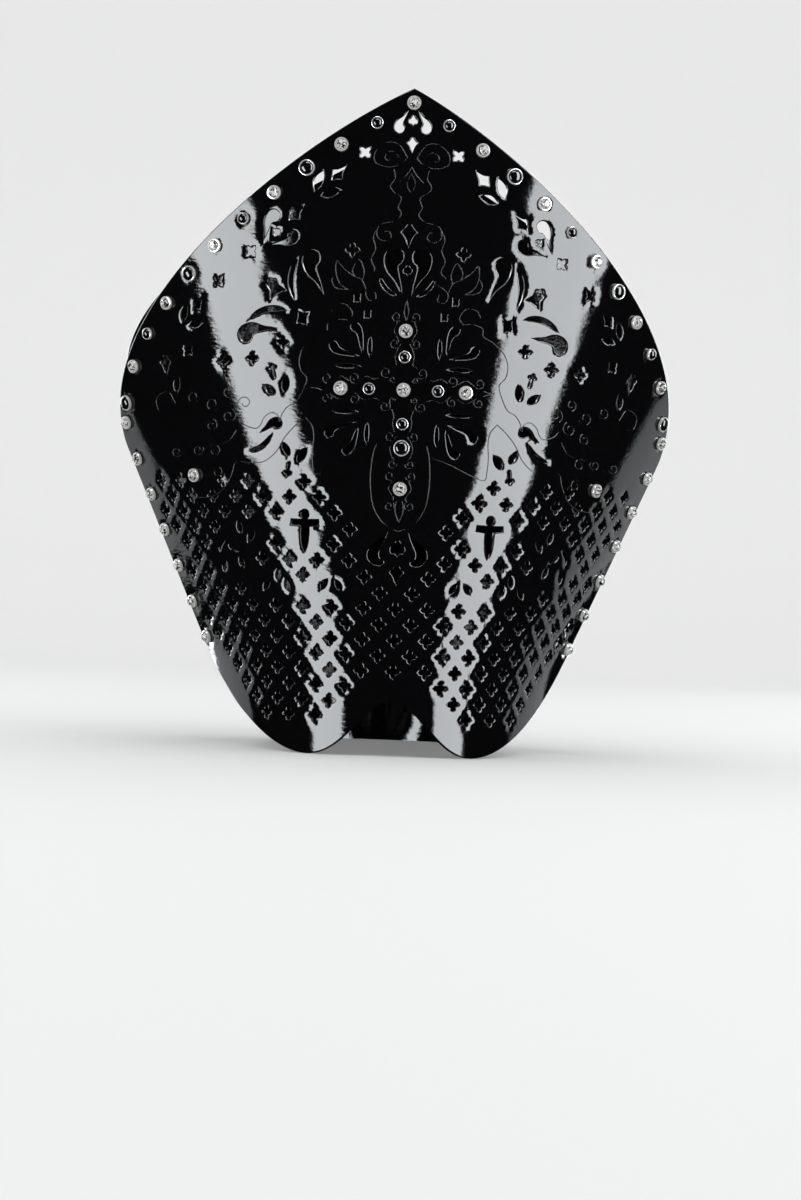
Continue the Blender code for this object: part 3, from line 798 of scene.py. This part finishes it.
# Places x and z in millimetres, as seen from the front.
MIRRORED_LINES = (
    ((14, 252), (18.5, 250), (22, 246.5), (20, 242), (16.5, 243), (17, 246.5)),
    (
        (30.6, 231.1), (36, 231.5), (41.3, 229.6), (41.8, 225.4), (46.7, 222.9), (53.2, 217.3), (55.7, 211),
        (55, 204.8), (51.5, 200), (53, 194), (56.5, 187.3), (61, 184.8), (64, 180.5), (64.4, 177),
    ),
    ((30.6, 231.1), (28.5, 235), (32, 239.5), (37.5, 239), (40, 235.5)),
    (
        (65, 176.5), (66, 180), (69.5, 181.5), (73.2, 179), (75.2, 174.8), (77.8, 173), (83.4, 174.8),
        (86, 178),
    ),
    (
        (51.3, 179.2), (47.7, 174.8), (46.6, 168.6), (47.1, 161), (46.6, 153.6), (45.3, 149.2), (38, 151.2),
        (31.2, 154.2), (23, 157.6), (16, 159.6),
    ),
    (
        (51.3, 179.2), (56.5, 174.8), (61.8, 168.6), (66, 161), (72.4, 155.5), (79.9, 154.5), (87.4, 155),
        (89.6, 148.6), (93.1, 141), (99.6, 136.5), (108, 135.5),
    ),
    ((13.4, 166), (15, 160), (15.8, 150), (15.4, 141), (13.6, 132.5), (9.4, 125.5), (4.2, 121.5), (0, 120)),
    ((0, 313.5), (3, 309), (6.4, 305.5)),
    ((0, 310), (2.2, 305.2), (0, 300), (-2.2, 305.2), (0, 310)),
    ((2.5, 318.5), (7, 325), (13.5, 326), (19.7, 321), (19, 315), (12, 313), (6, 315), (2.5, 318.5)),
    ((6.5, 318.5), (11, 321.5), (14.5, 319), (13, 316.5), (10.5, 317.5)),
    (
        (9.4, 312), (8.6, 307.5), (11, 303), (8.4, 299.5), (5, 297), (6.4, 292), (4.6, 288.5), (8, 284.5),
        (12.5, 283.5),
    ),
    ((12.5, 283.5), (16.5, 281.5), (17, 276.5), (13, 273.6), (9.6, 276), (10.8, 279), (13.4, 278.4)),
    ((16.5, 281.5), (19, 276), (17.6, 270), (19.6, 264), (17.6, 258.5), (20.5, 255)),
    ((22, 248), (24, 252.5), (28, 254.5), (33, 258), (37.8, 262.6), (38, 256), (35.6, 250.5), (31, 247.2)),
    ((24, 252.5), (23.2, 258), (26, 263.4), (29.4, 258.6), (28, 254.5)),
    ((38, 256), (40.2, 252.5), (37.6, 248.2), (31, 247.2)),
    ((12.6, 201.2), (16, 200.4), (20, 201.6), (23.4, 199.6)),
    ((12.6, 189.2), (16, 190.2), (20, 189), (23.4, 191)),
    ((29, 199.2), (33.4, 201.4), (37.8, 199)),
    ((29, 191.4), (33.4, 189.2), (37.8, 191.6)),
    ((3.4, 220.6), (4.4, 223.4), (6, 226.4), (4.6, 231)),
    ((3.6, 218), (5, 213), (4.4, 208.6), (7, 206.8)),
    ((5.8, 184.6), (4.6, 181), (5, 177), (4, 172.8)),
    ((4.4, 168), (6, 164.4), (5, 160), (3.4, 157.6)),
    ((4.4, 146.8), (6, 142.6), (3.2, 138), (4, 135.8)),
    ((0, 232), (1.2, 237), (0, 243)),
    ((43, 196.6), (46, 195.6), (49, 195.2)),
    ((43, 193.8), (46, 194.8), (49, 195.2)),
    ((1.6, 136), (2.2, 131), (0, 125)),
    ((88, 172), (92, 166), (96, 164.6)),
    ((122, 187), (126.4, 193), (132.6, 190), (131.6, 183.6), (127, 182)),
)
SCROLL_TURNS = 1.15
SCROLL_WAIST = 0.30
SCROLL_STEPS = 16
# Middle x and z, size and the angle where the spiral starts, in millimetres and degrees.
CROSS_SCROLLS = (
    (5.0, 234.0, 2.9, 230), (5.6, 219.6, 3.0, 180), (9.6, 204.2, 3.2, 225), (6.0, 200.6, 1.8, 200),
    (26.0, 200.8, 3.0, 270), (40.6, 200.4, 3.0, 230), (26.0, 189.6, 3.0, 90), (40.6, 190.0, 3.0, 130),
    (9.6, 186.2, 3.2, 135), (6.0, 189.8, 1.8, 160), (6.2, 170.4, 3.0, 180), (4.6, 155.6, 2.5, 180),
    (5.6, 149.4, 2.9, 190), (5.4, 133.4, 2.9, 140),
)
SIDE_SCROLLS = (
    (84, 186.6, 4.2, 300), (92.4, 179.6, 4.2, 120), (92.6, 192.6, 3.4, 250), (101.4, 186.2, 4.0, 200),
    (101.6, 174.6, 3.6, 80), (99.4, 160.8, 3.6, 40), (108.6, 161.4, 3.2, 150), (112, 190, 3.4, 220),
    (97.6, 149.4, 3.2, 60), (120.4, 160.4, 3.0, 200),
)


def smooth_line(places):
    """A smooth line through a few places, as points about one step apart."""
    ends = [places[0]] + list(places) + [places[-1]]
    line = []
    for before, here, after, beyond in zip(ends, ends[1:], ends[2:], ends[3:]):
        before, here, after, beyond = (Vector(p) for p in (before, here, after, beyond))
        count = max(2, round((after - here).length * MM / LINE_STEP))
        for i in range(count):
            t = i / count
            pull = (after - before) * t + (2 * before - 5 * here + 4 * after - beyond) * t ** 2
            line.append(here + (pull + (3 * here - before - 3 * after + beyond) * t ** 3) / 2)
    return line + [Vector(places[-1])]


def scroll(x, z, size, start):
    """A spiral about (x, z) that starts at this angle and rolls up into a small eye."""
    line = []
    for i in range(SCROLL_STEPS + 1):
        share = i / SCROLL_STEPS
        turn = math.radians(start) + share * SCROLL_TURNS * 2 * math.pi
        reach_now = size * (1 - (1 - SCROLL_WAIST) * share)
        line.append(Vector((x + reach_now * math.cos(turn), z + reach_now * math.sin(turn))))
    return line


def engraved_lines():
    """Every line as points of (x, z) in millimetres, on both sides."""
    right = [smooth_line(places) for places in MIRRORED_LINES]
    right += [scroll(*row) for row in CROSS_SCROLLS + SIDE_SCROLLS]
    return right + [[Vector((-p.x, p.y)) for p in line] for line in right]


def bead(lines):
    """A thin round bead, half sunk in the front sheet, along every line."""
    path = bpy.data.curves.new("lines", "CURVE")
    path.dimensions = "3D"
    path.bevel_depth = LINE_RADIUS
    path.bevel_resolution = 1
    path.use_fill_caps = True
    for line in lines:
        spline = path.splines.new("POLY")
        spline.points.add(len(line) - 1)
        for knot, p in zip(spline.points, line):
            point, _, _, out = frame_at(front_point, along(p.x * MM, p.y * MM), p.y * MM)
            knot.co = (*(point - out * LINE_SINK), 1)
    holder = bpy.data.objects.new("lines", path)
    bpy.context.scene.collection.objects.link(holder)
    mesh = bpy.data.meshes.new_from_object(holder.evaluated_get(bpy.context.evaluated_depsgraph_get()))
    bpy.data.objects.remove(holder)
    bpy.data.curves.remove(path)
    mesh.materials.clear()
    mesh.shade_smooth()
    return mesh


ENGRAVING = engraved_lines()
add_piece("engraved_lines", bead(ENGRAVING), SHEET_FINISH, "sheet")
print(f"{len(ENGRAVING)} engraved lines")

# %% [markdown]
# The back is bare: the same sheet with the same soft edges and no openings, so it needs far fewer faces.

# %% Back panel
back_mesh = bend(flat_sheet(BACK_OUTLINE, []), back_point)
add_piece("plain_back", back_mesh, SHEET_FINISH, "sheet", "back_panel")

# %% [markdown]
# ## Studs
#
# A crystal stud is a silver cup with a thin lip round a brilliant-cut stone; a cabochon stud is a silver
# ring round a polished dome. Each is one profile spun about its axis, which is how the real ones are
# turned and ground, and every copy is set square to the sheet where it sits.

# %% Stud shapes
STONE_SHARE = 0.775
DOME_RINGS = 9


def lathe(profile, sides):
    """A closed turned shape about +Z from a profile of (radius, height) that starts and ends on the axis."""
    bm = bmesh.new()
    verts = [bm.verts.new((radius, 0, height)) for radius, height in profile]
    edges = [bm.edges.new(pair) for pair in zip(verts, verts[1:])]
    bmesh.ops.spin(
        bm, geom=verts + edges, cent=(0, 0, 0), axis=(0, 0, 1), angle=2 * math.pi, steps=sides, use_merge=True
    )
    bmesh.ops.remove_doubles(bm, verts=bm.verts, dist=MERGE)
    bmesh.ops.recalc_face_normals(bm, faces=bm.faces)
    return bm


def cup(radius):
    """A deep cup with a thin lip, hollow down to its floor."""
    lip = 0.80 * radius
    top = SETTING_TOP
    wall = ((0, SEAT_GAP), (radius, SEAT_GAP), (radius, top - 0.12 * radius), (0.95 * radius, top))
    rim = ((lip, top + 0.02 * radius), (lip - 0.03 * radius, top - 0.10 * radius))
    return wall + rim + ((0.30 * radius, SEAT_GAP + 0.25 * MM), (0, SEAT_GAP + 0.2 * MM))


def ring(radius):
    """A round-topped ring with a floor, for a cabochon."""
    top = SETTING_TOP
    lip = top - 0.08 * MM
    wall = ((0, SEAT_GAP), (radius, SEAT_GAP), (radius, top - 0.35 * MM), (0.98 * radius, lip))
    rim = ((0.93 * radius, top), (0.88 * radius, lip), (0.86 * radius, top - 0.4 * MM))
    return wall + rim + ((0, top - 0.45 * MM),)


def brilliant(radius):
    """Girdle, crown and table over a pavilion that almost fills the cup."""
    pavilion = ((0, SEAT_GAP + 0.35 * MM), (0.75 * radius, SETTING_TOP - 0.10 * radius))
    crown = ((STONE_SHARE * radius, SETTING_TOP), (0.60 * radius, SETTING_TOP + 0.62 * STONE_RISE))
    table = SETTING_TOP + STONE_RISE
    return pavilion + crown + ((0.42 * radius, table), (0, table))


def dome(radius):
    foot = SETTING_TOP - 0.35 * MM
    rise = STONE_RISE + 0.35 * MM
    wide = 0.85 * radius
    arc = [math.radians(90 * i / DOME_RINGS) for i in range(DOME_RINGS)]
    return [(0, foot)] + [(wide * math.cos(t), foot + rise * math.sin(t)) for t in arc] + [(0, foot + rise)]


stone_width = 2 * STONE_SHARE * CRYSTAL_RADIUS
print(f"a crystal is {stone_width / MM:.1f} mm wide in a cup of {2 * CRYSTAL_RADIUS / MM:.1f} mm")

# %% Studs in place
TURNED_SIDES = 24
CUT_SIDES = 8


def set_stones(profile, sides, radius, places, smooth=True):
    """One mesh of this turned shape at every place on the front sheet."""
    joined = bmesh.new()
    for s, z in places:
        point, over, steep, out = frame_at(front_point, s, z)
        bm = lathe(profile(radius), sides)
        bm.transform(Matrix.Translation(point) @ Matrix((over, steep, out)).transposed().to_4x4())
        part = bpy.data.meshes.new("part")
        bm.to_mesh(part)
        bm.free()
        joined.from_mesh(part)
        bpy.data.meshes.remove(part)
    mesh = bpy.data.meshes.new("studs")
    joined.to_mesh(mesh)
    joined.free()
    if smooth:
        mesh.shade_smooth()
        mesh.set_sharp_from_angle(angle=math.radians(40))
    return mesh


def named_nodes(word):
    return [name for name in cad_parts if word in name]


def cabochon_meshes(name, profile):
    """One mesh of this shape at the small cabochons' places and, larger, at the large ones'."""
    joined = bmesh.new()
    for radius, kind in ((SMALL_CABOCHON_RADIUS, "b"), (LARGE_CABOCHON_RADIUS, "B")):
        joined.from_mesh(set_stones(profile, TURNED_SIDES, radius, stud_spots(kind)))
    made = bpy.data.meshes.new(name)
    joined.to_mesh(made)
    joined.free()
    return made


def stud_spots(wanted):
    return [(s, z) for kind, s, z in STUDS if kind == wanted]


crystal_spots = stud_spots("C") + RIVETS
cups = set_stones(cup, TURNED_SIDES, CRYSTAL_RADIUS, crystal_spots)
stones = set_stones(brilliant, CUT_SIDES, CRYSTAL_RADIUS, crystal_spots, smooth=False)
add_piece("crystal_cups", cups, SILVER, "crystal", *named_nodes("crystal"))
add_piece("crystals", stones, CRYSTAL, "crystal", *named_nodes("crystal"))
add_piece("cabochon_rings", cabochon_meshes("rings", ring), SILVER, "cabochon", *named_nodes("cabochon"))
add_piece("cabochons", cabochon_meshes("domes", dome), CABOCHON, "cabochon", *named_nodes("cabochon"))

# %% [markdown]
# ## Studio
#
# The mitre stands on a pale floor that sweeps up behind it. Gloss shows its surroundings, and a pale
# floor would grey the whole sheet, so the floor is left out of reflections and the world is almost black
# to them.

# %% Floor and backdrop
def pale_paper():
    made, shader = node_material("pale_paper")
    set_values(shader, Base_Color=(0.86, 0.86, 0.86, 1), Roughness=0.9)
    return made


def sweep(name, profile, half_width, glossy):
    bm = bmesh.new()
    verts = [bm.verts.new((-half_width, y, z)) for y, z in profile]
    edges = [bm.edges.new(pair) for pair in zip(verts, verts[1:])]
    made = bmesh.ops.extrude_edge_only(bm, edges=edges)["geom"]
    for vert in made:
        if isinstance(vert, bmesh.types.BMVert):
            vert.co.x = half_width
    mesh = bpy.data.meshes.new(name)
    bm.to_mesh(mesh)
    bm.free()
    mesh.shade_smooth()
    stage = bpy.data.objects.new(name, mesh)
    mesh.materials.append(PAPER)
    bpy.context.scene.collection.objects.link(stage)
    stage.visible_glossy = glossy


PAPER = pale_paper()
STAGE_HALF = 5.0
FLOOR_FROM, FLOOR_TO = -4.0, 0.6
BEND_FROM, BEND_RADIUS = 1.6, 0.8
BACKDROP_TOP = 4.0
BEND_STEPS = 16
turns = [math.radians(90 * i / BEND_STEPS) for i in range(1, BEND_STEPS + 1)]
rise = [(BEND_FROM + BEND_RADIUS * math.sin(t), BEND_RADIUS - BEND_RADIUS * math.cos(t)) for t in turns]
wall = [(FLOOR_TO, 0), (BEND_FROM, 0)] + rise + [(BEND_FROM + BEND_RADIUS, BACKDROP_TOP)]
sweep("floor", [(FLOOR_FROM, 0), (FLOOR_TO, 0)], STAGE_HALF, False)
sweep("backdrop", wall, STAGE_HALF, True)
print(f"floor {2 * STAGE_HALF:.0f} m wide")

# %% [markdown]
# The camera looks level from a little above the mitre's foot, a touch to the left and a touch tilted.
# Level is what keeps its upright edges upright. A long lens from 1.6 m keeps the near bow of the front
# from swelling.

# %% Camera
CAMERA_DISTANCE = 1600 * MM
CAMERA_TURN = math.radians(2.5)
CAMERA_AIM = math.radians(0.093)
CAMERA_ROLL = math.radians(2.14)
CAMERA_HEIGHT = 83.8 * MM
FOCAL_PIXELS = 3015.5
IMAGE_HEIGHT = 1200
SENSOR = 24

camera = bpy.data.objects.new("camera", bpy.data.cameras.new("camera"))
camera.data.sensor_fit = "VERTICAL"
camera.data.sensor_height = SENSOR
camera.data.lens = FOCAL_PIXELS / IMAGE_HEIGHT * SENSOR
camera.data.clip_end = 50
aside, away = CAMERA_DISTANCE * math.sin(CAMERA_TURN), CAMERA_DISTANCE * math.cos(CAMERA_TURN)
spot = Matrix.Translation((-aside, FRONT - away, CAMERA_HEIGHT))
heading = Matrix.Rotation(-CAMERA_TURN - CAMERA_AIM, 4, "Z") @ Matrix.Rotation(math.pi / 2, 4, "X")
camera.matrix_world = spot @ heading @ Matrix.Rotation(CAMERA_ROLL, 4, "Z")
bpy.context.scene.collection.objects.link(camera)
bpy.context.scene.camera = camera
bpy.context.scene.view_settings.view_transform = "Standard"
print(f"camera {CAMERA_DISTANCE:.1f} m away with a {camera.data.lens:.0f} mm lens")

# %% [markdown]
# Two softboxes in front draw the two bands. The left one leans, because its band runs more aslant. A weak
# one at each side lifts the flanks out of the black, one above catches the upper edges and the studs, and
# two behind do for the back what the first two do for the front. They show in gloss alone: the pale room
# lights the paper, so that it stays even.

# %% Lights
SOFTBOX_COLOUR = (0.94, 0.98, 1.0)
LIT_PLACE = Vector((0, 0, 0.2))
# Name, azimuth, distance, height, width, length, power in watts, and the turn in its own plane.
SOFTBOXES = (
    ("left_softbox", -52.4, 1.5, -0.075, 0.58, 1.3, 29, 27),
    ("right_softbox", 54, 1.5, 0.5, 0.74, 2.4, 66, 0),
    ("left_fill", -121, 1.6, 0.5, 0.7, 1.8, 4, 0),
    ("right_fill", 117, 1.6, 0.5, 0.7, 1.8, 4, 0),
    ("top_softbox", 0, 0.9, 2.1, 1.5, 0.5, 30, 0),
    ("back_left_softbox", -138, 1.7, 0.6, 0.45, 2.0, 26, 0),
    ("back_right_softbox", 146, 1.7, 0.6, 0.45, 2.0, 26, 0),
)


def softbox(name, azimuth, distance, height, width, tall, power, roll):
    """A light that faces the mitre. Azimuth is measured from the camera's side, positive to image right."""
    light = bpy.data.lights.new(name, "AREA")
    light.shape = "RECTANGLE"
    light.size = width
    light.size_y = tall
    light.energy = power
    light.color = SOFTBOX_COLOUR
    made = bpy.data.objects.new(name, light)
    angle = math.radians(azimuth)
    place = Vector((distance * math.sin(angle), -distance * math.cos(angle), height))
    facing = (LIT_PLACE - place).to_track_quat("-Z", "Y").to_matrix().to_4x4()
    made.matrix_world = Matrix.Translation(place) @ facing @ Matrix.Rotation(math.radians(roll), 4, "Z")
    made.visible_diffuse = False
    made.visible_camera = False
    bpy.context.scene.collection.objects.link(made)


for row in SOFTBOXES:
    softbox(*row)
print(f"{len(SOFTBOXES)} softboxes")

# %% World
ROOM_LIGHT = 1.0
ROOM_IN_GLOSS = 0.004

world = bpy.data.worlds.new("studio")
world.use_nodes = True
bpy.context.scene.world = world
nodes, links = world.node_tree.nodes, world.node_tree.links
sky = nodes["Background"]
sky.inputs["Color"].default_value = (1, 1, 1, 1)
path = nodes.new("ShaderNodeLightPath")
level = nodes.new("ShaderNodeMapRange")
level.inputs["To Min"].default_value = ROOM_LIGHT
level.inputs["To Max"].default_value = ROOM_IN_GLOSS
links.new(path.outputs["Is Glossy Ray"], level.inputs["Value"])
links.new(level.outputs["Result"], sky.inputs["Strength"])
print(f"the room lights at {ROOM_LIGHT:.0f} and shows in gloss at {ROOM_IN_GLOSS}")

# %% Finish
bpy.context.view_layer.update()
